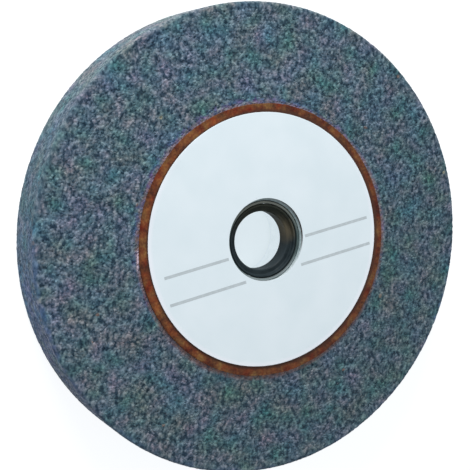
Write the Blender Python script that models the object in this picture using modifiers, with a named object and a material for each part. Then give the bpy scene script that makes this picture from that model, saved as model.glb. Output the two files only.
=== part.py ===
"""Bench grinding wheel: a straight vitrified wheel with card blotters, a paper label and a bushed bore.

The wheel lies flat on its rear blotter with its axis along +Z and its label up, as it rests when
nothing holds it. Lengths are metres. The origin is the centre of the rear face, on the surface
that the wheel lies on.
"""
import math

import bpy

PART_NAME = "bench_grinding_wheel"

# Abrasive wheel: the standard 200 x 25 mm bench size.
WHEEL_DIAMETER = 0.200
WHEEL_WIDTH = 0.025
WHEEL_CORNER_RADIUS = 0.0012

# Card blotters on both sides, and the paper label on the front one.
BLOTTER_DIAMETER = 0.117
BLOTTER_THICKNESS = 0.0005
LABEL_DIAMETER = 0.108
LABEL_THICKNESS = 0.0003
CARD_HOLE_MARGIN = 0.0004

# The front blotter and its label are glued on together, slightly off the wheel's axis.
LABEL_OFFSET_X = 0.0007
LABEL_OFFSET_Y = 0.0004

# Bore: a thin liner gives the nominal 32 mm bore.
BORE_DIAMETER = 0.032
LINER_WALL = 0.0011
LINER_SETBACK = 0.0002
LINER_EDGE_RADIUS = 0.0003

# Reducing bush: its land brings the bore down to a 25 mm spindle, behind a thin-walled mouth.
SPINDLE_DIAMETER = 0.025
BUSH_SETBACK = 0.0003
BUSH_MOUTH_DEPTH = 0.0021
BUSH_MOUTH_WALL = 0.0009
BUSH_MOUTH_FILLET = 0.0005
BUSH_LAND_LENGTH = 0.007
BUSH_CHAMFER = 0.0005

# Glue line or sliding clearance between pieces that seat on each other.
SEAT_GAP = 0.0003

# Facets of the turned pieces.
WHEEL_SEGMENTS = 160
CARD_SEGMENTS = 128
BORE_SEGMENTS = 96
CORNER_STEPS = 5
SMALL_CORNER_STEPS = 3
BUSH_RIM_STEPS = 6
MERGE_DISTANCE = 0.00001
SMOOTH_ANGLE = math.radians(35)

# Radii that follow from the sizes above.
WHEEL_RADIUS = WHEEL_DIAMETER / 2
BLOTTER_RADIUS = BLOTTER_DIAMETER / 2
LABEL_RADIUS = LABEL_DIAMETER / 2
BORE_RADIUS = BORE_DIAMETER / 2
SPINDLE_RADIUS = SPINDLE_DIAMETER / 2
LINER_RADIUS = BORE_RADIUS + LINER_WALL
LINER_SEAT_RADIUS = LINER_RADIUS + SEAT_GAP
CARD_HOLE_RADIUS = LINER_RADIUS + CARD_HOLE_MARGIN
BUSH_RADIUS = BORE_RADIUS - SEAT_GAP
BUSH_MOUTH_RADIUS = BUSH_RADIUS - BUSH_MOUTH_WALL

# Heights of the stack, from the surface under the rear blotter upwards.
WHEEL_BASE = BLOTTER_THICKNESS + SEAT_GAP
WHEEL_FACE = WHEEL_BASE + WHEEL_WIDTH
FRONT_BLOTTER_BASE = WHEEL_FACE + SEAT_GAP
LABEL_BASE = FRONT_BLOTTER_BASE + BLOTTER_THICKNESS + SEAT_GAP
LINER_BASE = WHEEL_BASE + LINER_SETBACK
LINER_LENGTH = WHEEL_WIDTH - 2 * LINER_SETBACK
BUSH_LENGTH = BUSH_MOUTH_DEPTH + BUSH_LAND_LENGTH
BUSH_BASE = LINER_BASE + LINER_LENGTH - BUSH_SETBACK - BUSH_LENGTH


def clear_scene():
    """Remove whatever the open scene holds."""
    for obj in list(bpy.data.objects):
        bpy.data.objects.remove(obj, do_unlink=True)


def make_material(name, color, roughness, metallic=0.0, coat=0.0):
    """A Principled material of one colour."""
    material = bpy.data.materials.new(name)
    material.use_nodes = True
    shader = material.node_tree.nodes["Principled BSDF"]
    shader.inputs["Base Color"].default_value = (*color, 1.0)
    shader.inputs["Roughness"].default_value = roughness
    shader.inputs["Metallic"].default_value = metallic
    shader.inputs["Coat Weight"].default_value = coat
    material.diffuse_color = (*color, 1.0)
    return material


def arc(center_r, center_z, radius, start_degrees, end_degrees, steps):
    """Profile points (r, z) along an arc, both ends included."""
    points = []
    for step in range(steps + 1):
        angle = math.radians(start_degrees + (end_degrees - start_degrees) * step / steps)
        points.append((center_r + radius * math.cos(angle), center_z + radius * math.sin(angle)))
    return points


def washer_profile(inner_radius, outer_radius, height):
    """Square-cut section of a flat ring, going out along its top and down its outer side."""
    return [
        (inner_radius, height),
        (outer_radius, height),
        (outer_radius, 0.0),
        (inner_radius, 0.0),
    ]


def wheel_profile():
    """Section of the abrasive wheel: both outer corners rounded, the bore left square."""
    corner = WHEEL_CORNER_RADIUS
    center_r = WHEEL_RADIUS - corner
    profile = [(LINER_SEAT_RADIUS, WHEEL_WIDTH)]
    profile += arc(center_r, WHEEL_WIDTH - corner, corner, 90, 0, CORNER_STEPS)
    profile += arc(center_r, corner, corner, 0, -90, CORNER_STEPS)
    profile.append((LINER_SEAT_RADIUS, 0.0))
    return profile


def liner_profile():
    """Section of the bore liner: a thin sleeve with all four edges rounded."""
    edge = LINER_EDGE_RADIUS
    top = LINER_LENGTH - edge
    steps = SMALL_CORNER_STEPS
    profile = arc(BORE_RADIUS + edge, top, edge, 180, 90, steps)
    profile += arc(LINER_RADIUS - edge, top, edge, 90, 0, steps)
    profile += arc(LINER_RADIUS - edge, edge, edge, 0, -90, steps)
    profile += arc(BORE_RADIUS + edge, edge, edge, -90, -180, steps)
    return profile


def bush_profile():
    """Section of the reducing bush: a thick land at the rear, a thin mouth with a round rim in front."""
    chamfer = BUSH_CHAMFER
    fillet = BUSH_MOUTH_FILLET
    rim = BUSH_MOUTH_WALL / 2
    profile = [
        (SPINDLE_RADIUS, BUSH_LAND_LENGTH - chamfer),
        (SPINDLE_RADIUS + chamfer, BUSH_LAND_LENGTH),
    ]
    profile += arc(
        BUSH_MOUTH_RADIUS - fillet, BUSH_LAND_LENGTH + fillet, fillet, -90, 0, SMALL_CORNER_STEPS
    )
    profile += arc(BUSH_MOUTH_RADIUS + rim, BUSH_LENGTH - rim, rim, 180, 0, BUSH_RIM_STEPS)
    profile += [
        (BUSH_RADIUS, chamfer),
        (BUSH_RADIUS - chamfer, 0.0),
        (SPINDLE_RADIUS + chamfer, 0.0),
        (SPINDLE_RADIUS, chamfer),
    ]
    return profile


def turn(name, profile, segments, location, material, parent):
    """Turn a closed section about Z, set it in its place and give it its material."""
    points = [(radius, 0.0, height) for radius, height in profile]
    edges = [(index, (index + 1) % len(points)) for index in range(len(points))]
    section = bpy.data.meshes.new(name)
    section.from_pydata(points, edges, [])
    piece = bpy.data.objects.new(name, section)
    bpy.data.collections[PART_NAME].objects.link(piece)

    screw = piece.modifiers.new("turn", "SCREW")
    screw.axis = "Z"
    screw.angle = math.tau
    screw.steps = segments
    screw.render_steps = segments
    screw.use_merge_vertices = True
    screw.merge_threshold = MERGE_DISTANCE

    graph = bpy.context.evaluated_depsgraph_get()
    solid = bpy.data.meshes.new_from_object(piece.evaluated_get(graph))
    piece.modifiers.remove(screw)
    piece.data = solid
    bpy.data.meshes.remove(section)
    solid.name = name
    solid.shade_smooth()
    solid.set_sharp_from_angle(angle=SMOOTH_ANGLE)
    solid.materials.append(material)

    piece.location = location
    piece.parent = parent
    return piece


def build_abrasive_wheel(parent):
    """The vitrified abrasive disc."""
    material = make_material("blue_grey_abrasive", (0.060, 0.095, 0.122), 0.85)
    location = (0.0, 0.0, WHEEL_BASE)
    turn("abrasive_wheel", wheel_profile(), WHEEL_SEGMENTS, location, material, parent)


def build_blotters(parent):
    """The brown card washers glued to both sides, which the flanges press on."""
    material = make_material("brown_card", (0.20, 0.048, 0.014), 0.7)
    profile = washer_profile(CARD_HOLE_RADIUS, BLOTTER_RADIUS, BLOTTER_THICKNESS)
    turn("rear_blotter", profile, CARD_SEGMENTS, (0.0, 0.0, 0.0), material, parent)
    location = (LABEL_OFFSET_X, LABEL_OFFSET_Y, FRONT_BLOTTER_BASE)
    turn("front_blotter", profile, CARD_SEGMENTS, location, material, parent)


def build_label(parent):
    """The white paper label glued to the front blotter."""
    material = make_material("white_paper", (0.72, 0.80, 0.85), 0.5, coat=0.1)
    profile = washer_profile(CARD_HOLE_RADIUS, LABEL_RADIUS, LABEL_THICKNESS)
    location = (LABEL_OFFSET_X, LABEL_OFFSET_Y, LABEL_BASE)
    turn("front_label", profile, CARD_SEGMENTS, location, material, parent)


def build_bore(parent):
    """The liner through the wheel, and the reducing bush pushed into it from the front."""
    liner_material = make_material("bright_liner_metal", (0.60, 0.63, 0.62), 0.25, metallic=1.0)
    bush_material = make_material("dark_bush_plastic", (0.014, 0.013, 0.012), 0.4)
    location = (0.0, 0.0, LINER_BASE)
    turn("bore_liner", liner_profile(), BORE_SEGMENTS, location, liner_material, parent)
    location = (0.0, 0.0, BUSH_BASE)
    turn("reducing_bush", bush_profile(), BORE_SEGMENTS, location, bush_material, parent)


def main():
    clear_scene()
    collection = bpy.data.collections.new(PART_NAME)
    bpy.context.scene.collection.children.link(collection)
    axis = bpy.data.objects.new("wheel_axis", None)
    collection.objects.link(axis)
    build_abrasive_wheel(axis)
    build_blotters(axis)
    build_label(axis)
    build_bore(axis)


main()
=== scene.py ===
"""Looks of the bench grinding wheel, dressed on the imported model.

The wheel lies on its rear blotter with its axis along +Z and its label up. Lengths are metres and
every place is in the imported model's own frame. The grain of the abrasive, the card and the paper
are meshes here. The bore liner and the bush keep their solids and get a new finish.

Left, right, up and down are meant as the camera sees the front face: +X is right and +Y is up. A
span is two values between which something changes evenly. Shades are the stops of a colour ramp,
each with its position and its colour.
"""
import math
from collections import namedtuple

import bpy
import numpy as np
from mathutils import Matrix, Vector
from mathutils.geometry import delaunay_2d_cdt


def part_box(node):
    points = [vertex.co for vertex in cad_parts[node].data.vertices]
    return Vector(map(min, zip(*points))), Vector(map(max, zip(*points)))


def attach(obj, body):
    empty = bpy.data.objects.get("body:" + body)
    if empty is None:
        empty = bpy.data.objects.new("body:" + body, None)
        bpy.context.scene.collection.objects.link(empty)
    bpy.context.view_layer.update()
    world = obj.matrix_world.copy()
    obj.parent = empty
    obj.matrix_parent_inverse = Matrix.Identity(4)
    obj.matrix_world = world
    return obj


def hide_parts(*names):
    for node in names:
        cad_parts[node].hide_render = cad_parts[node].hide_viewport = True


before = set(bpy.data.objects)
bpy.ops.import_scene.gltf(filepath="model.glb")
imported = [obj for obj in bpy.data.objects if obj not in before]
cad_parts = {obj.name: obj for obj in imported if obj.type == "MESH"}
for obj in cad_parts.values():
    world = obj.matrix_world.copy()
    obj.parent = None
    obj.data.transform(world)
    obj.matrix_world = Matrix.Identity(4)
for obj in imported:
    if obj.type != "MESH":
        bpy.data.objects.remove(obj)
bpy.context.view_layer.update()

# Sizes that the solids' boxes don't give. The hole through card and paper is 0.15 mm wider all
# round than in the solids.
WHEEL_CORNER_RADIUS = 0.0012
SEAT_GAP = 0.0003
CARD_HOLE_MARGIN = 0.00055

# Grain of the abrasive: the spacing of grains and rows, how far a grain lies off its place and its
# tip off its middle, how deep tips, valleys and pores lie, and the share of grains that left a pore.
GRAIN_SEED = 20
GRAIN_PITCH = 0.00145
ROW_SPACING = GRAIN_PITCH * math.sqrt(3) / 2
GRAIN_JITTER = 0.34
TIP_SHIFT = 0.24
TIP_DEPTH = (0.0, 0.00013)
VALLEY_DEPTH = (0.00018, 0.00044)
PORE_DEPTH = (0.00040, 0.0008)
PORE_SHARE = 0.10

# Depth of the grain on the dressed rim and at the corners, as shares of its depth on the faces, and
# how far from a corner it starts to change.
DRESSED_DEPTH = 0.8
CORNER_DEPTH = 0.3
CORNER_EASE = 0.0025

# Kinds of grain by colour, the share of each odd kind, and the places and kinds of two odd grains
# that stand out.
PLAIN, RUSTY, STRAW = 0.5, 0.0, 1.0
ODD_SHARE = 0.0003
ODD_GRAINS = ((-0.0485, 0.0487, STRAW), (-0.0724, -0.0295, RUSTY))

# Mesh of the grain: how far it reaches in under the front card, the angle by which its two ends
# overlap while neighbours are joined, the tolerance and the output type of that step, and the
# number of steps in which the section is unrolled.
COVERED_STRIP = 0.0018
SEAM_MARGIN = 0.12
DELAUNAY_TOLERANCE = 1e-9
ALL_TRIANGLES = 0
UNROLLING_STEPS = 4000

# Card and paper: points round the ring and rows across it. The last row but one lies close to the
# edge, which keeps the rounded edge from bending the shading of the face.
CARD_SEGMENTS = 900
CARD_ROWS = 14
LAST_INNER_ROW = 0.992
CARD_SHARP_ANGLE = math.radians(40.0)

# The rounded cut edge: its height as a share of the thickness, and how far in and down from the
# corner its middle point lies, as shares of that height.
ROUNDED_SHARE = 1 / 3
CORNER_IN = 0.25
CORNER_DOWN = 0.2

# How rough the cut edges are and how wavy the faces. The waves of each are the fewest round the
# ring, the most, and how many between them are tried.
BLOTTER_EDGE_ROUGHNESS = 0.00035
LABEL_EDGE_ROUGHNESS = 0.00003
BLOTTER_WAVINESS = 0.00004
LABEL_WAVINESS = 0.00002
EDGE_WAVES = (5, 320, 60)
FACE_WAVES = (2, 40, 12)
FRONT_CARD_SEED, REAR_CARD_SEED, LABEL_SEED = 4, 5, 6

# The front card's outer edge is cut short on one side. The dark line round the label, and the hole
# through the card and the label, lie off their centre.
CARD_SHORT_SIDE = math.radians(140.0)
CARD_SHORTAGE = 0.0008
LABEL_LINE_SHIFT = (0.0007, -0.0002, 0.0)
HOLE_SHIFT = (-0.00028, 0.00030, 0.0)
NO_SHIFT = (0.0, 0.0, 0.0)
WHEEL_CENTRE = (0.0, 0.0, 0.0)

# The side of the bore where the card, the filler and the liner are paler, and the span over which
# they grow paler, on the liner and the filler and on the card.
PALE_BORE_DIRECTION = (0.26, -0.966, 0.0)
PALE_BORE_SPAN = (0.0085, 0.0140)
CARD_PALE_BORE_SPAN = (0.0020, 0.0090)

# The two ruled lines printed on the label, from its centre: how far off it each one runs, and where
# its two strokes start and end on the left and on the right.
RULE_ANGLE = math.radians(15.0)
RULE_WIDTH = 0.00130
UPPER_RULE = (-0.00295, (-0.0488, -0.0192), (0.0182, 0.0504))
LOWER_RULE = (-0.01460, (-0.0488, -0.0134), (0.0138, 0.0496))

# Camera: what it aims at, its distance, and how it is turned about Y and then tipped about X.
CAMERA_AIM = (-0.01463, 0.00271, 0.0272)
CAMERA_DISTANCE = 0.4318
CAMERA_TURN = math.radians(-26.40)
CAMERA_TIP = math.radians(-5.25)
CAMERA_LENS = 79.5
CAMERA_SENSOR = 36.0
CAMERA_CLIP_START = 0.01

# Light: one large soft lamp beyond the photo's top edge, and an even surround.
LAMP_DIRECTION = (-0.28, 0.86, 0.43)
LAMP_DISTANCE = 1.10
LAMP_SIZE = 0.58
LAMP_POWER = 13.8
SURROUND_LIGHT = (0.50, 0.51, 0.52)

# Floor: wide enough for every view. Grey inside the bore as a painted shadow, paler round the wheel,
# white further out.
FLOOR_HALF_WIDTH = 8.0
FLOOR_BORE_SHADOW = (0.645, 0.738, 0.786)
FLOOR_NEAR = (0.86, 0.88, 0.90)
FLOOR_NEAR_SPAN = (0.03, 0.06)
FLOOR_FAR_SPAN = (0.16, 0.45)

# How much of the lamp's light the floor shows near the wheel, which draws the shadow there, and the
# plain colour that it has in light that falls on things.
FLOOR_LIT_SHARE = (0.27, 0.27, 0.27)
FLOOR_UNSEEN = (0.80, 0.80, 0.80)

# Plain colours, and the two ends of a share that rises or fades.
WHITE = (1.0, 1.0, 1.0)
BLACK = (0.0, 0.0, 0.0)
RISE = (0.0, 1.0)
FADE = (1.0, 0.0)

TurnedBox = namedtuple("TurnedBox", "centre radius base top")


def box_of(node):
    """Centre, radius, base and top of a turned node, from its box."""
    low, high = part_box(node)
    middle = (low + high) / 2
    return TurnedBox(Vector((middle.x, middle.y, 0.0)), (high.x - low.x) / 2, low.z, high.z)


def card_hole_radius():
    """Radius of the hole through card and paper."""
    return box_of("bore_liner").radius + CARD_HOLE_MARGIN


def add_object(name, data):
    """An object in the scene's own collection."""
    item = bpy.data.objects.new(name, data)
    bpy.context.scene.collection.objects.link(item)
    return item


def add_node(tree, kind, inputs=None, **settings):
    """A shader node with its settings and inputs. An input that is a socket is linked."""
    node = tree.nodes.new(kind)
    for name, value in settings.items():
        setattr(node, name, value)
    for name, value in (inputs or {}).items():
        if isinstance(value, bpy.types.NodeSocket):
            tree.links.new(value, node.inputs[name])
        else:
            node.inputs[name].default_value = value
    return node


def opaque(color):
    """A colour with its alpha. A socket stays as it is."""
    if isinstance(color, bpy.types.NodeSocket):
        return color
    return (*color, 1.0)


def calculate(tree, operation, *values):
    """The result of a Math node."""
    node = add_node(tree, "ShaderNodeMath", dict(enumerate(values)), operation=operation)
    return node.outputs[0]


def scale_and_add(tree, value, factor, addend):
    """A value times a factor, plus another value."""
    return calculate(tree, "MULTIPLY_ADD", value, factor, addend)


def vector_math(tree, operation, *values):
    """The outputs of a Vector Math node: its result is the Vector or the Value."""
    node = add_node(tree, "ShaderNodeVectorMath", dict(enumerate(values)), operation=operation)
    return node.outputs


def mix_colors(tree, factor, first, second, blend_type="MIX"):
    """The result of a colour Mix node."""
    inputs = {0: factor, 6: opaque(first), 7: opaque(second)}
    node = add_node(tree, "ShaderNodeMix", inputs, data_type="RGBA", blend_type=blend_type)
    return node.outputs[2]


def multiply_colors(tree, color, tint, factor=1.0):
    """A colour times a tint, all over or by a factor."""
    return mix_colors(tree, factor, color, tint, blend_type="MULTIPLY")


def color_ramp(tree, factor, shades):
    """The colour that a Color Ramp gives."""
    node = add_node(tree, "ShaderNodeValToRGB", {"Fac": factor})
    elements = node.color_ramp.elements
    while len(elements) < len(shades):
        elements.new(1.0)
    for element, (position, color) in zip(elements, shades):
        element.position = position
        element.color = opaque(color)
    return node.outputs["Color"]


def noise(tree, place, scale, detail=2.0, roughness=0.5):
    """The value of a Noise Texture, about 0.5 on average."""
    inputs = {"Vector": place, "Scale": scale, "Detail": detail, "Roughness": roughness}
    return add_node(tree, "ShaderNodeTexNoise", inputs).outputs["Fac"]


def map_range(tree, value, span, new_span=RISE):
    """A value moved from one span to another and held inside it."""
    inputs = dict(enumerate((value, *span, *new_span)))
    return add_node(tree, "ShaderNodeMapRange", inputs).outputs[0]


def bump(tree, height, strength, distance):
    """A normal bent by a height."""
    inputs = {"Height": height, "Strength": strength, "Distance": distance}
    return add_node(tree, "ShaderNodeBump", inputs).outputs["Normal"]


def face_value(tree, name):
    """The number that each face of the mesh holds under a name."""
    return add_node(tree, "ShaderNodeAttribute", attribute_name=name).outputs["Fac"]


def object_place(tree, centre=None):
    """The place of the shaded point, from the model's origin or from a centre."""
    place = add_node(tree, "ShaderNodeTexCoord").outputs["Object"]
    if centre is None:
        return place
    return vector_math(tree, "SUBTRACT", place, centre)["Vector"]


def coordinates(tree, place):
    """X, Y and Z of a place."""
    return add_node(tree, "ShaderNodeSeparateXYZ", {"Vector": place}).outputs


def distance_from_axis(tree, centre=None):
    """How far the shaded point is from the wheel's axis, or from the one through a centre."""
    flat = vector_math(tree, "MULTIPLY", object_place(tree, centre), (1.0, 1.0, 0.0))["Vector"]
    return vector_math(tree, "LENGTH", flat)["Value"]


def along_direction(tree, place, direction):
    """How far a place lies in a direction."""
    return vector_math(tree, "DOT_PRODUCT", place, direction)["Value"]


def beyond(radius, span):
    """A span of distances from an axis, given as how far its ends lie outside a radius."""
    return tuple(radius + end for end in span)


def pale_bore_side(tree, place, span=PALE_BORE_SPAN):
    """1 on the side of the bore where card, filler and liner are paler, 0 on the other sides."""
    return map_range(tree, along_direction(tree, place, PALE_BORE_DIRECTION), span)


def new_material(name, values):
    """A Principled material with some values set: the material, its node tree and its shader."""
    material = bpy.data.materials.new(name)
    material.use_nodes = True
    tree = material.node_tree
    shader = tree.nodes["Principled BSDF"]
    for socket, value in values.items():
        shader.inputs[socket].default_value = value
    return material, tree, shader


def link_shader(tree, shader, sockets):
    """Link what the shader's inputs take their values from."""
    for name, socket in sockets.items():
        tree.links.new(socket, shader.inputs[name])


# Shades and roughness of the grit. A grain's own shade is its start plus up to its range, and flecks
# and crystals shift it both ways. Nearly all values of a noise lie in the noise's span.
GRIT_SHADES = (
    (0.00, (0.007, 0.024, 0.043)),
    (0.25, (0.036, 0.067, 0.093)),
    (0.50, (0.075, 0.109, 0.139)),
    (0.75, (0.108, 0.142, 0.173)),
    (1.00, (0.187, 0.223, 0.255)),
)
TONE_START = 0.25
TONE_RANGE = 0.5
NOISE_SPAN = (0.30, 0.70)
FLECK_STRETCH = (1.35, 0.90, 1.15)
FLECK_SHIFT = (-0.57, 0.57)
CRYSTAL_SHIFT = (-0.14, 0.14)
GRIT_ROUGHNESS = (0.42, 0.80)

# Hue of the grit: how much its red and blue drift, where they start, and how far blue follows red.
RED_START = 0.12
RED_DRIFT = 1.76
BLUE_START = 0.50
BLUE_DRIFT = 0.66
BLUE_AFTER_RED = 0.17

# Painted light and shade: the span of the wheel over which they change, and their tints from left to
# right and upwards.
PAINTED_SHADING_SPAN = (-0.08, 0.08)
PAINTED_SHADING_SIDEWAYS = ((0.86, 0.98, 1.03), (0.66, 0.825, 0.855))
PAINTED_SHADING_UPWARDS = ((1.05, 0.98, 0.94), (1.11, 1.11, 1.10))

# Odd grains: how strong their colour is, and the two colours.
ODD_STRENGTH = 0.5
RUSTY_COLOR = (0.200, 0.110, 0.075)
STRAW_COLOR = (0.330, 0.310, 0.200)

# Resin soaked into the grit beside the front card: how far it reaches and how strong it is, its
# patches and what lies between them, and what is left of it on the lower half.
RESIN_SHADES = (
    (0.42, (0.034, 0.082, 0.190)),
    (0.60, (0.094, 0.070, 0.212)),
)
RESIN_REACH = (0.0004, 0.0026)
RESIN_FADE = (0.85, 0.0)
RESIN_PATCHES = (0.45, 0.56)
RESIN_IN_PATCHES = (0.05, 1.0)
RESIN_UPWARDS_SPAN = (-0.05, 0.02)
RESIN_UPWARDS = (0.12, 1.0)

# The fringe is also paler than the grit, which paints light over the shade of the card's edge.
# Brown fringe beside the front card: how far it reaches, the side where it is narrower and by how
# much, its patches and what lies between them, and its colour in the middle and further up.
FRINGE_REACH = (0.0003, 0.0021)
FRINGE_NARROW_SIDE = (-0.707, 0.707, 0.0)
FRINGE_NARROW_SPAN = (-0.020, 0.020)
FRINGE_NARROWED = (0.0, 0.0012)
FRINGE_PATCHES = (0.36, 0.62)
FRINGE_IN_PATCHES = (0.30, 1.0)
FRINGE_UPWARDS_SPAN = (0.0, 0.055)
FRINGE_COLORS = ((0.235, 0.140, 0.128), (0.230, 0.180, 0.215))

# Pale sliver beside the front card: its place and half size, where it starts to fade as a share of
# that size, and its colour.
SLIVER_PLACE = (-0.0568, -0.0074, 0.0258)
SLIVER_SIZE = (0.0007, 0.0058, 0.0040)
SLIVER_SPAN = (0.25, 1.0)
SLIVER_FADE = (0.72, 0.0)
SLIVER_COLOR = (0.78, 0.61, 0.71)

# Dressed rim: where its border on the faces and the rim itself start, from the wheel's radius on,
# and how strongly each is dressed. A noise is added to the distance and makes both starts ragged.
RIM_RAGGEDNESS = 0.0070
BORDER_SPAN = (0.0022, 0.0052)
BORDER_DRESSED = (0.0, 0.30)
RIM_SPAN = (0.0017, 0.0032)
RIM_DRESSED = 0.20
DRESSED_COLOR = (0.102, 0.160, 0.208)

# Painted light and shade along the rim, from its lower end up: darker and bluer low down, brighter
# at the top.
RIM_PAINTED_SHADING_SPAN = (-0.08, 0.09)
RIM_PAINTED_SHADING = (
    (0.00, (0.60, 0.67, 0.84)),
    (0.12, (0.50, 0.56, 0.78)),
    (0.30, (0.84, 0.93, 1.32)),
    (0.52, (0.61, 0.80, 0.86)),
    (0.72, (0.83, 0.88, 0.88)),
    (1.00, (1.46, 1.16, 1.02)),
)

# Grey filler round the bore: how far inside the card's edge it starts, its shades, and how much
# paler it is on one side of the bore, and in what colour.
FILLER_SPAN = (-0.0030, -0.0020)
FILLER_SHADES = (
    (0.30, (0.240, 0.320, 0.335)),
    (0.70, (0.390, 0.480, 0.500)),
)
FILLER_PALE_STRENGTH = 0.8
FILLER_PALE_COLOR = (0.56, 0.64, 0.66)


def grit_color(tree, place):
    """Blue-grey grains, each with its own shade, in wide patches between teal and violet."""
    # Flecks and crystals break the shade of a grain up. The flecks are a little longer one way.
    stretched = vector_math(tree, "MULTIPLY", place, FLECK_STRETCH)["Vector"]
    specks = noise(tree, stretched, scale=480.0, detail=1.5, roughness=0.6)
    flecks = map_range(tree, specks, NOISE_SPAN, FLECK_SHIFT)
    glints = noise(tree, place, scale=1500.0, detail=3.0, roughness=0.6)
    crystals = map_range(tree, glints, NOISE_SPAN, CRYSTAL_SHIFT)
    broken = calculate(tree, "ADD", flecks, crystals)
    own_shade = scale_and_add(tree, face_value(tree, "grain_tone"), TONE_RANGE, TONE_START)
    grit = color_ramp(tree, calculate(tree, "ADD", own_shade, broken), GRIT_SHADES)

    # The hue drifts between teal and violet, and a little between olive and navy.
    red = scale_and_add(tree, noise(tree, place, scale=112.0, detail=1.0), RED_DRIFT, RED_START)
    blue_share = scale_and_add(tree, red, BLUE_AFTER_RED, BLUE_START)
    blue = scale_and_add(tree, noise(tree, place, scale=86.0, detail=1.0), BLUE_DRIFT, blue_share)
    tint = add_node(tree, "ShaderNodeCombineColor", {"Red": red, "Green": 1.0, "Blue": blue})
    return multiply_colors(tree, grit, tint.outputs["Color"])


def add_painted_shading(tree, place, color):
    """Painted light and shade make the wheel paler towards its left, and a little paler and bluer
    towards its top.
    """
    split = coordinates(tree, place)
    sideways = mix_colors(tree, map_range(tree, split["X"], PAINTED_SHADING_SPAN), *PAINTED_SHADING_SIDEWAYS)
    upwards = mix_colors(tree, map_range(tree, split["Y"], PAINTED_SHADING_SPAN), *PAINTED_SHADING_UPWARDS)
    return multiply_colors(tree, color, multiply_colors(tree, sideways, upwards))


def add_odd_grains(tree, color):
    """A few grains are rusty or the colour of straw."""
    kind = face_value(tree, "grain_kind")
    rusty = map_range(tree, kind, (PLAIN, RUSTY), (0.0, ODD_STRENGTH))
    straw = map_range(tree, kind, (PLAIN, STRAW), (0.0, ODD_STRENGTH))
    rusted = mix_colors(tree, rusty, color, RUSTY_COLOR)
    return mix_colors(tree, straw, rusted, STRAW_COLOR)


def add_stains(tree, place, color, card_centre, card_radius):
    """Beside the front card the grit has violet-blue resin in it, a brown fringe that is partly
    painted light, and a pale sliver.
    """
    height = coordinates(tree, place)["Y"]
    reach = distance_from_axis(tree, card_centre)

    beside = map_range(tree, reach, beyond(card_radius, RESIN_REACH), RESIN_FADE)
    soaked = map_range(tree, noise(tree, place, scale=390.0), RESIN_PATCHES, RESIN_IN_PATCHES)
    upwards = map_range(tree, height, RESIN_UPWARDS_SPAN, RESIN_UPWARDS)
    resin = color_ramp(tree, noise(tree, place, scale=240.0, detail=0.0), RESIN_SHADES)
    stain = calculate(tree, "MULTIPLY", calculate(tree, "MULTIPLY", beside, soaked), upwards)
    blued = mix_colors(tree, stain, color, resin)

    # The brown fringe, partly painted light over the shade of the card's edge.
    sideways = along_direction(tree, place, FRINGE_NARROW_SIDE)
    narrowed = map_range(tree, sideways, FRINGE_NARROW_SPAN, FRINGE_NARROWED)
    fringe_reach = calculate(tree, "ADD", reach, narrowed)
    warm = map_range(tree, fringe_reach, beyond(card_radius, FRINGE_REACH), FADE)
    patches = noise(tree, place, scale=560.0, detail=1.0)
    patchy = map_range(tree, patches, FRINGE_PATCHES, FRINGE_IN_PATCHES)
    brown = mix_colors(tree, map_range(tree, height, FRINGE_UPWARDS_SPAN), *FRINGE_COLORS)
    fringed = mix_colors(tree, calculate(tree, "MULTIPLY", warm, patchy), blued, brown)

    sliver_scale = tuple(1 / size for size in SLIVER_SIZE)
    scaled = vector_math(tree, "MULTIPLY", object_place(tree, SLIVER_PLACE), sliver_scale)
    away = vector_math(tree, "LENGTH", scaled["Vector"])["Value"]
    sliver = map_range(tree, away, SLIVER_SPAN, SLIVER_FADE)
    return mix_colors(tree, sliver, fringed, SLIVER_COLOR)


def add_dressed_rim(tree, place, color, wheel_radius):
    """The dressed running surface is paler and more even, with a ragged border on the faces and
    painted shading.
    """
    raggedness = noise(tree, place, scale=240.0, detail=3.0)
    ragged = scale_and_add(tree, raggedness, RIM_RAGGEDNESS, distance_from_axis(tree))
    border = map_range(tree, ragged, beyond(wheel_radius, BORDER_SPAN), BORDER_DRESSED)
    on_rim = map_range(tree, ragged, beyond(wheel_radius, RIM_SPAN))
    dressed = calculate(tree, "MAXIMUM", border, calculate(tree, "MULTIPLY", on_rim, RIM_DRESSED))
    worn = mix_colors(tree, dressed, color, DRESSED_COLOR)

    # Painted light and shade along the rim: darker and bluer low down, brighter at the top.
    height = coordinates(tree, place)["Y"]
    tint = color_ramp(tree, map_range(tree, height, RIM_PAINTED_SHADING_SPAN), RIM_PAINTED_SHADING)
    return multiply_colors(tree, worn, mix_colors(tree, on_rim, WHITE, tint))


def add_filler(tree, place, color, card_radius):
    """Grey filler covers the grit round the bore, under the cards, and is paler on one side of the
    bore.
    """
    filler = color_ramp(tree, noise(tree, place, scale=700.0), FILLER_SHADES)
    # The filler is paler on one side of the bore.
    pale_share = calculate(tree, "MULTIPLY", pale_bore_side(tree, place), FILLER_PALE_STRENGTH)
    paled = mix_colors(tree, pale_share, filler, FILLER_PALE_COLOR)
    covered = map_range(tree, distance_from_axis(tree), beyond(card_radius, FILLER_SPAN), FADE)
    return mix_colors(tree, covered, color, paled)


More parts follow.
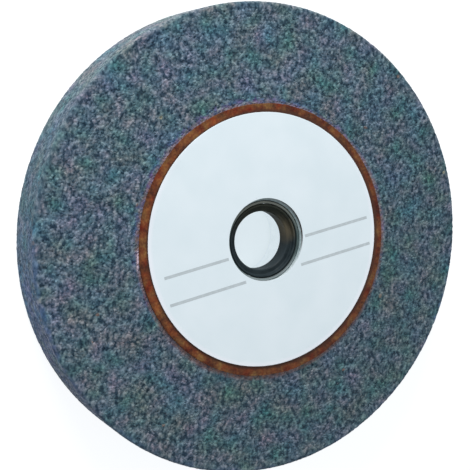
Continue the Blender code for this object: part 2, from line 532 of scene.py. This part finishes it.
def abrasive_material(card_centre, card_radius, wheel_radius):
    """Vitrified grit, with everything that lies on it or has soaked into it, and painted light and
    shade.
    """
    material, tree, shader = new_material("abrasive_grit", {"Specular IOR Level": 0.26})
    place = object_place(tree)
    color = grit_color(tree, place)
    color = add_painted_shading(tree, place, color)
    color = add_odd_grains(tree, color)
    color = add_stains(tree, place, color, card_centre, card_radius)
    color = add_dressed_rim(tree, place, color, wheel_radius)
    color = add_filler(tree, place, color, card_radius)
    fine = noise(tree, place, scale=2600.0)
    link_shader(tree, shader, {
        "Base Color": color,
        "Normal": bump(tree, fine, strength=0.5, distance=0.00008),
        "Roughness": map_range(tree, face_value(tree, "grain_dullness"), RISE, GRIT_ROUGHNESS),
    })
    return material


# Card: its shades, how much blotches and fibres add to the shade, and how much its hue drifts.
CARD_SHADES = (
    (0.00, (0.070, 0.018, 0.012)),
    (0.35, (0.155, 0.040, 0.020)),
    (0.70, (0.245, 0.074, 0.030)),
    (1.00, (0.340, 0.125, 0.046)),
)
BLOTCH_SHARE = 0.75
FIBRE_SHARE = 0.5
CARD_SHADE_SPAN = (0.465, 0.795)
CARD_HUE_DRIFT = 2.0

# Painted light and shade make the card darker at its lower right than at its upper left.
CARD_LIT_SIDE = (-0.88, 0.47, 0.0)
CARD_LIT_SPAN = (-0.056, 0.056)
CARD_PAINTED_SHADING = ((0.50, 0.56, 0.59), (0.82, 0.98, 0.79))

# A dark line on the card along the label: how ragged it is, how far it reaches, and its colour.
LABEL_LINE_RAGGEDNESS = 0.0016
LABEL_LINE_SPAN = (0.0016, 0.0025)
LABEL_LINE_FADE = (0.90, 0.0)
LABEL_LINE_COLOR = (0.056, 0.023, 0.015)

# Painted shade makes the card's cut edge darker on the left.
CARD_EDGE_SHADE_SPAN = (-0.0022, -0.0009)
CARD_EDGE_SHADE_SIDE = (-1.0, 0.0, 0.0)
CARD_EDGE_SHADE_SIDE_SPAN = (0.005, 0.045)
CARD_EDGE_SHADE_TINT = (0.66, 0.60, 0.62)

# The card is paler along its hole on one side of the bore.
CARD_PALE_HOLE_SPAN = (0.0002, 0.0006)
CARD_PALE_HOLE_FADE = (0.9, 0.0)
CARD_PALE_HOLE_COLOR = (0.62, 0.70, 0.72)


def card_material(name, centre, hole_radius, label_radius, outer_radius):
    """Brown vulcanised card: mottled fibres, painted shade to one side, a dark line along the label.
    """
    material, tree, shader = new_material(name, {"Roughness": 0.6, "Specular IOR Level": 0.15})
    place = object_place(tree)
    blotches = noise(tree, place, scale=170.0, detail=3.0, roughness=0.6)
    fibres = noise(tree, place, scale=1100.0, detail=3.0, roughness=0.7)
    fibre_shade = calculate(tree, "MULTIPLY", fibres, FIBRE_SHARE)
    shade = scale_and_add(tree, blotches, BLOTCH_SHARE, fibre_shade)
    brown = color_ramp(tree, map_range(tree, shade, CARD_SHADE_SPAN), CARD_SHADES)
    hue = noise(tree, place, scale=250.0, detail=1.0)
    drift = calculate(tree, "MULTIPLY", hue, CARD_HUE_DRIFT)
    tint = add_node(tree, "ShaderNodeCombineColor", {"Red": 1.0, "Green": drift, "Blue": drift})
    drifted = multiply_colors(tree, brown, tint.outputs["Color"])
    # Painted shade: the card is darker at its lower right than at its upper left.
    card_lit_share = map_range(tree, along_direction(tree, place, CARD_LIT_SIDE), CARD_LIT_SPAN)
    toned = multiply_colors(tree, drifted, mix_colors(tree, card_lit_share, *CARD_PAINTED_SHADING))

    # A dark line on the card along the label.
    line_reach = distance_from_axis(tree, Vector(centre) + Vector(LABEL_LINE_SHIFT))
    ragged = scale_and_add(tree, blotches, LABEL_LINE_RAGGEDNESS, line_reach)
    label_line = map_range(tree, ragged, beyond(label_radius, LABEL_LINE_SPAN), LABEL_LINE_FADE)
    lined = mix_colors(tree, label_line, toned, LABEL_LINE_COLOR)

    # Painted shade on the card's cut edge, on the left.
    reach = distance_from_axis(tree, centre)
    outermost = map_range(tree, reach, beyond(outer_radius, CARD_EDGE_SHADE_SPAN))
    side = map_range(tree, along_direction(tree, place, CARD_EDGE_SHADE_SIDE), CARD_EDGE_SHADE_SIDE_SPAN)
    painted_edge_shade = calculate(tree, "MULTIPLY", outermost, side)
    edge_painted = multiply_colors(tree, lined, CARD_EDGE_SHADE_TINT, painted_edge_shade)

    # The card is paler along its hole on one side of the bore.
    hole_reach = distance_from_axis(tree, Vector(centre) + Vector(HOLE_SHIFT))
    hole_edge = map_range(tree, hole_reach, beyond(hole_radius, CARD_PALE_HOLE_SPAN), CARD_PALE_HOLE_FADE)
    pale_share = calculate(tree, "MULTIPLY", hole_edge, pale_bore_side(tree, place, CARD_PALE_BORE_SPAN))
    link_shader(tree, shader, {
        "Base Color": mix_colors(tree, pale_share, edge_painted, CARD_PALE_HOLE_COLOR),
        "Normal": bump(tree, fibres, strength=0.4, distance=0.00010),
    })
    return material


# Paper: its shades, and a painted highlight that makes its cut edge a little brighter on the lower
# half.
PAPER_SHADES = (
    (0.30, (0.700, 0.800, 0.850)),
    (0.70, (0.745, 0.835, 0.885)),
)
HIGHLIGHT_EDGE_SPAN = (-0.0022, -0.0007)
HIGHLIGHT_UPWARDS_SPAN = (0.005, 0.045)
HIGHLIGHT_EDGE_TINT = (1.11, 1.04, 1.05)

# Ink of the ruled lines: its colour, and how it is worn by a noise.
INK_COLOR = (0.45, 0.510, 0.540)
INK_WEAR_SPAN = (0.2, 0.6)
INK_WEAR = (0.7, 1.0)


def rule_mask(tree, along, across, rule):
    """1 on the two strokes of a ruled line, 0 elsewhere."""
    offset, *strokes = rule
    on_line = calculate(tree, "COMPARE", across, offset, RULE_WIDTH / 2)
    on_stroke = [
        calculate(tree, "COMPARE", along, (start + end) / 2, (end - start) / 2)
        for start, end in strokes
    ]
    return calculate(tree, "MULTIPLY", on_line, calculate(tree, "ADD", *on_stroke))


def label_material(centre, label_radius):
    """Coated white paper with a cool cast, and the two ruled lines."""
    material, tree, shader = new_material("label_paper", {"Roughness": 0.42})
    place = object_place(tree, centre)
    paper = color_ramp(tree, noise(tree, place, scale=60.0), PAPER_SHADES)

    # A painted highlight on the paper's cut edge, on the lower half.
    reach = distance_from_axis(tree, centre)
    outermost = map_range(tree, reach, beyond(label_radius, HIGHLIGHT_EDGE_SPAN))
    lower = map_range(tree, coordinates(tree, place)["Y"], HIGHLIGHT_UPWARDS_SPAN, FADE)
    edge_highlight = calculate(tree, "MULTIPLY", outermost, lower)
    edge_painted = multiply_colors(tree, paper, HIGHLIGHT_EDGE_TINT, edge_highlight)

    turned = add_node(tree, "ShaderNodeVectorRotate", {"Vector": place, "Angle": -RULE_ANGLE})
    split = coordinates(tree, turned.outputs["Vector"])
    rules = [rule_mask(tree, split["X"], split["Y"], rule) for rule in (UPPER_RULE, LOWER_RULE)]
    ink = calculate(tree, "MAXIMUM", *rules)
    wear = map_range(tree, noise(tree, place, scale=900.0), INK_WEAR_SPAN, INK_WEAR)
    worn_ink = calculate(tree, "MULTIPLY", ink, wear)

    grain = noise(tree, place, scale=1600.0, detail=3.0, roughness=0.6)
    link_shader(tree, shader, {
        "Base Color": mix_colors(tree, worn_ink, edge_painted, INK_COLOR),
        "Normal": bump(tree, grain, strength=0.12, distance=0.00003),
    })
    return material


# Liner: its shades where it is dull and where it is bright, how far the dull ends reach, and its
# roughness and metallic value on the bright wall and on the dull ends.
LINER_DULL_SHADES = (
    (0.30, (0.038, 0.066, 0.068)),
    (0.60, (0.062, 0.105, 0.106)),
    (0.80, (0.110, 0.150, 0.145)),
)
LINER_BRIGHT_SHADES = (
    (0.30, (0.920, 0.935, 0.940)),
    (0.70, (0.970, 0.975, 0.980)),
)
LINER_DULL_TOP = 0.0005
LINER_DULL_BASE = 0.0002
LINER_ROUGHNESS = (0.10, 0.60)
LINER_METALLIC = (1.0, 0.2)

# Painted light makes the liner's dull ends greyer towards the top, and they are paler on one side of
# the bore. Painted shade darkens the joint between the liner and the bush, more of it on one side.
LINER_PAINTED_LIGHT_SPAN = (0.003, 0.014)
LINER_PAINTED_LIGHT = (0.165, 0.182, 0.162)
LINER_PALE_COLOR = (0.260, 0.310, 0.320)
JOINT_SHADE_COLOR = (0.014, 0.026, 0.028)
JOINT_SHADE_REACH = (0.0, 0.00055)
JOINT_SHADE_FADE = (0.85, 0.0)
JOINT_SHADE_SIDE = (0.94, -0.34, 0.0)
JOINT_SHADE_SIDE_SPAN = (-0.002, 0.010)
JOINT_SHADE_SIDE_SHARE = (0.25, 1.0)


def liner_material(base, bush_base, bush_radius):
    """A thin metal sleeve: bright behind the bush, dull round the bush and at its rear end."""
    material, tree, shader = new_material("liner_metal", {})
    place = object_place(tree)
    split = coordinates(tree, place)
    at_top = map_range(tree, split["Z"], (bush_base - LINER_DULL_TOP, bush_base))
    at_base = map_range(tree, split["Z"], (base, base + LINER_DULL_BASE), FADE)
    dull_share = calculate(tree, "MAXIMUM", at_top, at_base)
    marks = noise(tree, place, scale=320.0, detail=4.0, roughness=0.6)

    dull = color_ramp(tree, marks, LINER_DULL_SHADES)
    # Painted light: the dull ends are greyer towards the top.
    painted_lighter = mix_colors(tree, map_range(tree, split["Y"], LINER_PAINTED_LIGHT_SPAN), dull, LINER_PAINTED_LIGHT)
    # The dull ends are paler on one side of the bore.
    paled = mix_colors(tree, pale_bore_side(tree, place), painted_lighter, LINER_PALE_COLOR)
    # Painted shade in the joint between the liner and the bush, more of it on one side.
    joint_span = beyond(bush_radius + SEAT_GAP, JOINT_SHADE_REACH)
    in_joint = map_range(tree, distance_from_axis(tree), joint_span, JOINT_SHADE_FADE)
    sideways = along_direction(tree, place, JOINT_SHADE_SIDE)
    shade_side = map_range(tree, sideways, JOINT_SHADE_SIDE_SPAN, JOINT_SHADE_SIDE_SHARE)
    joint_shade = calculate(tree, "MULTIPLY", in_joint, shade_side)
    joint_shaded = mix_colors(tree, joint_shade, paled, JOINT_SHADE_COLOR)

    bright = color_ramp(tree, marks, LINER_BRIGHT_SHADES)
    link_shader(tree, shader, {
        "Base Color": mix_colors(tree, dull_share, bright, joint_shaded),
        "Roughness": map_range(tree, dull_share, RISE, LINER_ROUGHNESS),
        "Metallic": map_range(tree, dull_share, RISE, LINER_METALLIC),
        "Normal": bump(tree, marks, strength=0.10, distance=0.00004),
    })
    return material


# Bush: its shades, and how it gets browner towards the top.
BUSH_SHADES = (
    (0.35, (0.012, 0.019, 0.023)),
    (0.58, (0.022, 0.032, 0.037)),
    (0.78, (0.050, 0.056, 0.052)),
)
BUSH_BROWN_SPAN = (0.0, 0.012)
BUSH_BROWN_TINT = (1.60, 1.25, 0.85)
BUSH_ROUGHNESS_SPAN = (0.35, 0.75)
BUSH_ROUGHNESS = (0.45, 0.70)

# A painted highlight on the bush's wall: its place and reach, how much dust widens it, and its
# colour.
BUSH_HIGHLIGHT_PLACE = (0.0116, 0.0048, 0.0210)
BUSH_HIGHLIGHT_SPAN = (-0.001, 0.0050)
BUSH_HIGHLIGHT_FADE = (0.85, 0.0)
BUSH_HIGHLIGHT_BY_DUST = -0.004
BUSH_HIGHLIGHT_COLOR = (0.150, 0.125, 0.080)


def bush_material():
    """Dark brown-black moulded plastic, dusty, with a painted highlight on its wall."""
    material, tree, shader = new_material("bush_plastic", {"Specular IOR Level": 0.08})
    place = object_place(tree)
    dust = noise(tree, place, scale=210.0, detail=4.0, roughness=0.65)
    moulded = color_ramp(tree, dust, BUSH_SHADES)
    upwards = map_range(tree, coordinates(tree, place)["Y"], BUSH_BROWN_SPAN)
    browned = multiply_colors(tree, moulded, mix_colors(tree, upwards, WHITE, BUSH_BROWN_TINT))
    # A painted highlight on the bush's wall.
    away = vector_math(tree, "DISTANCE", place, BUSH_HIGHLIGHT_PLACE)["Value"]
    spread = scale_and_add(tree, dust, BUSH_HIGHLIGHT_BY_DUST, away)
    painted_highlight = map_range(tree, spread, BUSH_HIGHLIGHT_SPAN, BUSH_HIGHLIGHT_FADE)
    link_shader(tree, shader, {
        "Base Color": mix_colors(tree, painted_highlight, browned, BUSH_HIGHLIGHT_COLOR),
        "Roughness": map_range(tree, dust, BUSH_ROUGHNESS_SPAN, BUSH_ROUGHNESS),
        "Normal": bump(tree, dust, strength=0.15, distance=0.00006),
    })
    return material


class ExposedSection:
    """The wheel's outer section: out over the front face, down the rim and in over the rear face.

    A place is a distance along it, an angle round the axis and a depth below the surface.
    """

    def __init__(self, inner, outer, base, face, corner):
        flat = outer - corner - inner
        bend = corner * math.pi / 2
        side = face - base - 2 * corner
        core_reach = outer - corner
        self.corner = corner
        self.keys = np.cumsum([0.0, flat, bend, side, bend, flat])
        self.core_radius = [inner] + [core_reach] * 4 + [inner]
        self.core_height = [face - corner] * 3 + [base + corner] * 3
        self.lean = [math.pi / 2] * 2 + [0.0] * 2 + [-math.pi / 2] * 2
        self.length = self.keys[-1]

    def radius(self, along, depth=0.0):
        lean = np.interp(along, self.keys, self.lean)
        core = np.interp(along, self.keys, self.core_radius)
        return core + (self.corner - depth) * np.cos(lean)

    def height(self, along, depth=0.0):
        lean = np.interp(along, self.keys, self.lean)
        core = np.interp(along, self.keys, self.core_height)
        return core + (self.corner - depth) * np.sin(lean)

    def points(self, along, angle, depth):
        radius = self.radius(along, depth)
        return np.stack(
            [radius * np.cos(angle), radius * np.sin(angle), self.height(along, depth)], axis=-1
        )

    def depth_share(self, along):
        """How deep the grain goes: fully on the faces, less on the rim, least at the corners."""
        front, front_end, rear, rear_end = self.keys[1:5]
        places = [
            front - CORNER_EASE, front, front_end, front_end + CORNER_EASE,
            rear - CORNER_EASE, rear, rear_end, rear_end + CORNER_EASE,
        ]
        corner, side = CORNER_DEPTH, DRESSED_DEPTH
        return np.interp(along, places, [1.0, corner, corner, side, side, corner, corner, 1.0])

    def unrolled(self, along):
        """Distance along the section in a plan where the grains keep their proportions."""
        steps = np.linspace(0.0, self.length, UNROLLING_STEPS + 1)
        widths = 1.0 / self.radius((steps[1:] + steps[:-1]) / 2)
        return np.interp(along, steps, np.concatenate([[0.0], np.cumsum(widths * np.diff(steps))]))


def scatter_grains(section, rng):
    """Middles of the grains, in jittered rows, after the two plain rings that end the section."""
    ring_count = round(math.tau * float(section.radius(0.0)) / GRAIN_PITCH)
    ring_angle = np.arange(ring_count) * math.tau / ring_count
    along = [np.zeros(ring_count), np.full(ring_count, section.length)]
    angle = [ring_angle, ring_angle]
    row_count = round(section.length / ROW_SPACING)
    for row in range(1, row_count):
        middle = section.length * row / row_count
        count = round(math.tau * float(section.radius(middle)) / GRAIN_PITCH)
        sideways = rng.uniform(-GRAIN_JITTER, GRAIN_JITTER, count) + rng.random()
        forwards = rng.uniform(-GRAIN_JITTER, GRAIN_JITTER, count) * GRAIN_PITCH
        angle.append((np.arange(count) + sideways) * math.tau / count % math.tau)
        along.append(middle + forwards)
    return ring_count, np.concatenate(along), np.concatenate(angle)


def join_neighbours(section, along, angle):
    """Triangles between neighbouring grains, and the middle of each along and round the section."""
    first = np.flatnonzero(angle < SEAM_MARGIN)
    last = np.flatnonzero(angle > math.tau - SEAM_MARGIN)
    source = np.concatenate([np.arange(len(angle)), first, last])
    across = np.concatenate([angle, angle[first] + math.tau, angle[last] - math.tau])
    plan = np.stack([across, section.unrolled(along)[source]], axis=1)
    corners = [Vector(corner) for corner in plan]
    found = delaunay_2d_cdt(corners, [], [], ALL_TRIANGLES, DELAUNAY_TOLERANCE)
    triangles = np.array(found[2])
    middle = across[triangles].mean(axis=1)
    triangles = triangles[(middle >= 0.0) & (middle < math.tau)]
    grains = source[triangles]
    return grains, along[grains].mean(axis=1), across[triangles].mean(axis=1)


def grain_facets(triangles, tip_count):
    """A fan of facets round each grain's tip, down to the low points between its neighbours."""
    start = triangles.ravel()
    end = np.roll(triangles, -1, axis=1).ravel()
    owner = np.repeat(np.arange(len(triangles)), 3)
    key = start * tip_count + end
    order = np.argsort(key)
    wanted = end * tip_count + start
    found = np.searchsorted(key[order], wanted).clip(0, len(key) - 1)
    matched = key[order][found] == wanted
    opposite = np.where(matched, tip_count + owner[order][found], end)
    return np.stack([start, tip_count + owner, opposite], axis=1)


def ring_points(radius, angle, height):
    """Points round a ring. The radius and the height may differ from point to point."""
    heights = np.broadcast_to(height, angle.shape)
    return np.stack([radius * np.cos(angle), radius * np.sin(angle), heights], axis=1)


def ring_strip(lower, upper):
    """Quads between two rings of as many points, facing out where the section goes on."""
    return np.stack([lower, upper, np.roll(upper, -1), np.roll(lower, -1)], axis=1)


def build_mesh(name, points, faces, material):
    """A mesh object that rides on the model."""
    mesh = bpy.data.meshes.new(name)
    mesh.from_pydata(points.tolist(), [], faces)
    mesh.materials.append(material)
    piece = add_object(name, mesh)
    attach(piece, "root")
    return piece


def set_face_values(mesh, name, values):
    """One number for each face, which a material reads by its name."""
    attribute = mesh.attributes.new(name, "FLOAT", "FACE")
    attribute.data.foreach_set("value", values.astype(np.float32))


def grain_kinds(tips, middle_height, wheel_radius, rng):
    """The kind of each grain: nearly all plain, a few odd by chance, and two in their places."""
    draw = rng.random(len(tips))
    kinds = np.where(draw < ODD_SHARE, RUSTY, np.where(draw > 1.0 - ODD_SHARE, STRAW, PLAIN))
    behind = np.where(tips[:, 2] > middle_height, 0.0, wheel_radius)
    for x, y, kind in ODD_GRAINS:
        away = np.hypot(tips[:, 0] - x, tips[:, 1] - y) + behind
        kinds[away.argmin()] = kind
    return kinds


def build_abrasive():
    """The abrasive wheel as one closed body, with every grain of its open surface faceted."""
    rng = np.random.default_rng(GRAIN_SEED)
    _, wheel_radius, base, face = box_of("abrasive_wheel")
    card = box_of("front_blotter")
    inner = card.radius - card.centre.length - COVERED_STRIP
    section = ExposedSection(inner, wheel_radius, base, face, WHEEL_CORNER_RADIUS)
    ring_count, along, angle = scatter_grains(section, rng)
    triangles, low_along, low_angle = join_neighbours(section, along, angle)
    tip_count = len(along)
    is_ring = np.arange(tip_count) < 2 * ring_count

    # Tips lie off the middles of their grains, and some grains have fallen out and left a pore.
    tip_depth = rng.uniform(*TIP_DEPTH, tip_count)
    pore_depth = rng.uniform(*PORE_DEPTH, tip_count)
    tip_depth = np.where(rng.random(tip_count) < PORE_SHARE, pore_depth, tip_depth)
    tip_depth[is_ring] = 0.0
    tip_depth *= section.depth_share(along)
    shift = rng.uniform(-TIP_SHIFT, TIP_SHIFT, (2, tip_count)) * GRAIN_PITCH * ~is_ring
    tip_angle = angle + shift[0] / section.radius(along)
    tips = section.points(along + shift[1], tip_angle, tip_depth)
    low_depth = rng.uniform(*VALLEY_DEPTH, len(low_along)) * section.depth_share(low_along)
    lows = section.points(low_along, low_angle, low_depth)

    # Plain rings close the body through the bore.
    bore_radius = box_of("bore_liner").radius + SEAT_GAP
    ring_angle = angle[:ring_count]
    rings = [ring_points(bore_radius, ring_angle, height) for height in (base, face)]
    front_ring = np.arange(ring_count)
    rear_ring = front_ring + ring_count
    bore_base = front_ring + tip_count + len(lows)
    bore_top = bore_base + ring_count
    strips = np.concatenate([
        ring_strip(rear_ring, bore_base),
        ring_strip(bore_base, bore_top),
        ring_strip(bore_top, front_ring),
    ])

    facets = grain_facets(triangles, tip_count)
    points = np.concatenate([tips, lows, *rings])
    material = abrasive_material(card.centre, card.radius, wheel_radius)
    piece = build_mesh("abrasive_grit", points, facets.tolist() + strips.tolist(), material)

    kinds = grain_kinds(tips, (base + face) / 2, wheel_radius, rng)
    grain_values = {
        "grain_tone": rng.random(tip_count),
        "grain_dullness": rng.random(tip_count),
        "grain_kind": kinds,
    }
    plain = np.full(len(strips), PLAIN)
    for name, values in grain_values.items():
        set_face_values(piece.data, name, np.concatenate([values[facets[:, 0]], plain]))
    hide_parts("abrasive_wheel")


def ripple(angle, rng, fewest, most, tried):
    """Smooth noise round a ring, from -1 to 1: a sum of waves, from few round the ring to many."""
    turns = np.unique(np.geomspace(fewest, most, tried).round())
    waves = [np.sin(turn * angle + rng.uniform(0.0, math.tau)) / math.sqrt(turn) for turn in turns]
    total = np.sum(waves, axis=0)
    return total / np.abs(total).max()


def build_card(
    name, node, material, seed, roughness, waviness, shortage=0.0, hole_shift=NO_SHIFT
):
    """A flat ring of card or paper, with an edge not quite round and a face not quite flat."""
    rng = np.random.default_rng(seed)
    centre, outer_radius, base, top = box_of(node)
    hole_radius = card_hole_radius()
    angle = np.arange(CARD_SEGMENTS) * math.tau / CARD_SEGMENTS
    edge = outer_radius - roughness * (1.0 + ripple(angle, rng, *EDGE_WAVES)) / 2
    edge -= shortage * (1.0 + np.cos(angle - CARD_SHORT_SIDE)) / 2
    round_off = (top - base) * ROUNDED_SHARE

    # Rows from the base of the hole, over the face, to the base of the outer edge. Each has its
    # distance from the centre, its height, and its share of the hole's shift.
    rows = [(hole_radius, base, 1.0)]
    for share in (*np.linspace(0.0, 1.0, CARD_ROWS)[:-1], LAST_INNER_ROW, 1.0):
        reach = hole_radius + (edge - round_off - hole_radius) * share
        height = top - waviness * (1.0 + ripple(angle, rng, *FACE_WAVES)) / 2
        rows.append((reach, height, 1.0 - share))
    rows += [
        (edge - round_off * CORNER_IN, height - round_off * CORNER_DOWN, 0.0),
        (edge, height - round_off, 0.0),
        (edge, base, 0.0),
    ]

    points = []
    for reach, height, shift_share in rows:
        x = centre.x + hole_shift[0] * shift_share
        y = centre.y + hole_shift[1] * shift_share
        points.append(ring_points(reach, angle, height) + (x, y, 0.0))
    rings = [np.arange(CARD_SEGMENTS) + row * CARD_SEGMENTS for row in range(len(rows))]
    strips = [ring_strip(a, b) for a, b in zip(rings, rings[1:] + rings[:1])]
    piece = build_mesh(name, np.concatenate(points), np.concatenate(strips).tolist(), material)
    piece.data.shade_smooth()
    piece.data.set_sharp_from_angle(angle=CARD_SHARP_ANGLE)
    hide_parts(node)


def build_cards():
    """Both blotters and the label."""
    hole_radius = card_hole_radius()
    card = box_of("front_blotter")
    label = box_of("front_label")
    front = card_material("front_card", label.centre, hole_radius, label.radius, card.radius)
    rear = card_material("rear_card", WHEEL_CENTRE, hole_radius, 0.0, card.radius)
    paper = label_material(label.centre, label.radius)
    build_card(
        "front_card", "front_blotter", front, FRONT_CARD_SEED,
        BLOTTER_EDGE_ROUGHNESS, BLOTTER_WAVINESS, CARD_SHORTAGE, HOLE_SHIFT,
    )
    build_card(
        "rear_card", "rear_blotter", rear, REAR_CARD_SEED,
        BLOTTER_EDGE_ROUGHNESS, BLOTTER_WAVINESS,
    )
    build_card(
        "label_paper", "front_label", paper, LABEL_SEED,
        LABEL_EDGE_ROUGHNESS, LABEL_WAVINESS, hole_shift=HOLE_SHIFT,
    )


def dress_bore():
    """The liner and the bush keep their solids and get their finish."""
    bush = box_of("reducing_bush")
    finishes = {
        "bore_liner": liner_material(box_of("bore_liner").base, bush.base, bush.radius),
        "reducing_bush": bush_material(),
    }
    for node, material in finishes.items():
        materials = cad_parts[node].data.materials
        materials.clear()
        materials.append(material)


def either_shader(tree, unseen, seen):
    """One shader for what the camera, a gloss or a clear surface shows, one for all other light."""
    path = add_node(tree, "ShaderNodeLightPath").outputs
    gloss_or_clear = calculate(tree, "MAXIMUM", path["Is Glossy Ray"], path["Is Transmission Ray"])
    seen_directly = calculate(tree, "MAXIMUM", path["Is Camera Ray"], gloss_or_clear)
    inputs = {0: seen_directly, 1: unseen.outputs[0], 2: seen.outputs[0]}
    return add_node(tree, "ShaderNodeMixShader", inputs).outputs[0]


def build_floor():
    """A wide floor that the camera sees as white, with the wheel's shadow on it and a painted shadow
    in the bore.
    """
    material = bpy.data.materials.new("floor")
    material.use_nodes = True
    tree = material.node_tree
    tree.nodes.clear()
    reach = distance_from_axis(tree)
    outside = map_range(tree, reach, FLOOR_NEAR_SPAN)
    far = map_range(tree, reach, FLOOR_FAR_SPAN)
    # Grey inside the bore: a painted shadow.
    glow_color = mix_colors(tree, far, mix_colors(tree, outside, FLOOR_BORE_SHADOW, FLOOR_NEAR), WHITE)
    glow = add_node(tree, "ShaderNodeEmission", {"Color": glow_color, "Strength": 1.0})
    lit_color = mix_colors(tree, far, FLOOR_LIT_SHARE, BLACK)
    lit = add_node(tree, "ShaderNodeBsdfDiffuse", {"Color": lit_color})
    shown = add_node(tree, "ShaderNodeAddShader", {0: glow.outputs[0], 1: lit.outputs[0]})
    unseen = add_node(tree, "ShaderNodeBsdfDiffuse", {"Color": opaque(FLOOR_UNSEEN)})
    surface = either_shader(tree, unseen, shown)
    add_node(tree, "ShaderNodeOutputMaterial", {"Surface": surface})

    mesh = bpy.data.meshes.new("floor")
    half = FLOOR_HALF_WIDTH
    corners = [(-half, -half, 0.0), (half, -half, 0.0), (half, half, 0.0), (-half, half, 0.0)]
    mesh.from_pydata(corners, [], [(0, 1, 2, 3)])
    mesh.materials.append(material)
    floor = add_object("floor", mesh)


def build_light():
    """The soft lamp and the even surround, which the camera sees as white."""
    lamp = bpy.data.lights.new("key_lamp", "AREA")
    lamp.shape = "DISK"
    lamp.size = LAMP_SIZE
    lamp.energy = LAMP_POWER
    holder = add_object("key_lamp", lamp)
    direction = Vector(LAMP_DIRECTION).normalized()
    holder.location = direction * LAMP_DISTANCE
    holder.rotation_euler = direction.to_track_quat("Z", "Y").to_euler()

    world = bpy.data.worlds.new("surround")
    bpy.context.scene.world = world
    world.use_nodes = True
    tree = world.node_tree
    tree.nodes.clear()
    even, white = (
        add_node(tree, "ShaderNodeBackground", {"Color": opaque(color), "Strength": 1.0})
        for color in (SURROUND_LIGHT, WHITE)
    )
    surface = either_shader(tree, even, white)
    add_node(tree, "ShaderNodeOutputWorld", {"Surface": surface})


def build_camera():
    """The camera, at the photograph's viewing angle."""
    data = bpy.data.cameras.new("camera")
    data.lens = CAMERA_LENS
    data.sensor_width = CAMERA_SENSOR
    data.clip_start = CAMERA_CLIP_START
    camera = add_object("camera", data)
    turn = Matrix.Rotation(CAMERA_TIP, 4, "X") @ Matrix.Rotation(CAMERA_TURN, 4, "Y")
    back = turn @ Vector((0.0, 0.0, CAMERA_DISTANCE))
    camera.matrix_world = Matrix.Translation(Vector(CAMERA_AIM) + back) @ turn
    bpy.context.scene.camera = camera


build_abrasive()
build_cards()
dress_bore()
build_floor()
build_light()
build_camera()
bpy.context.scene.view_settings.view_transform = "Standard"
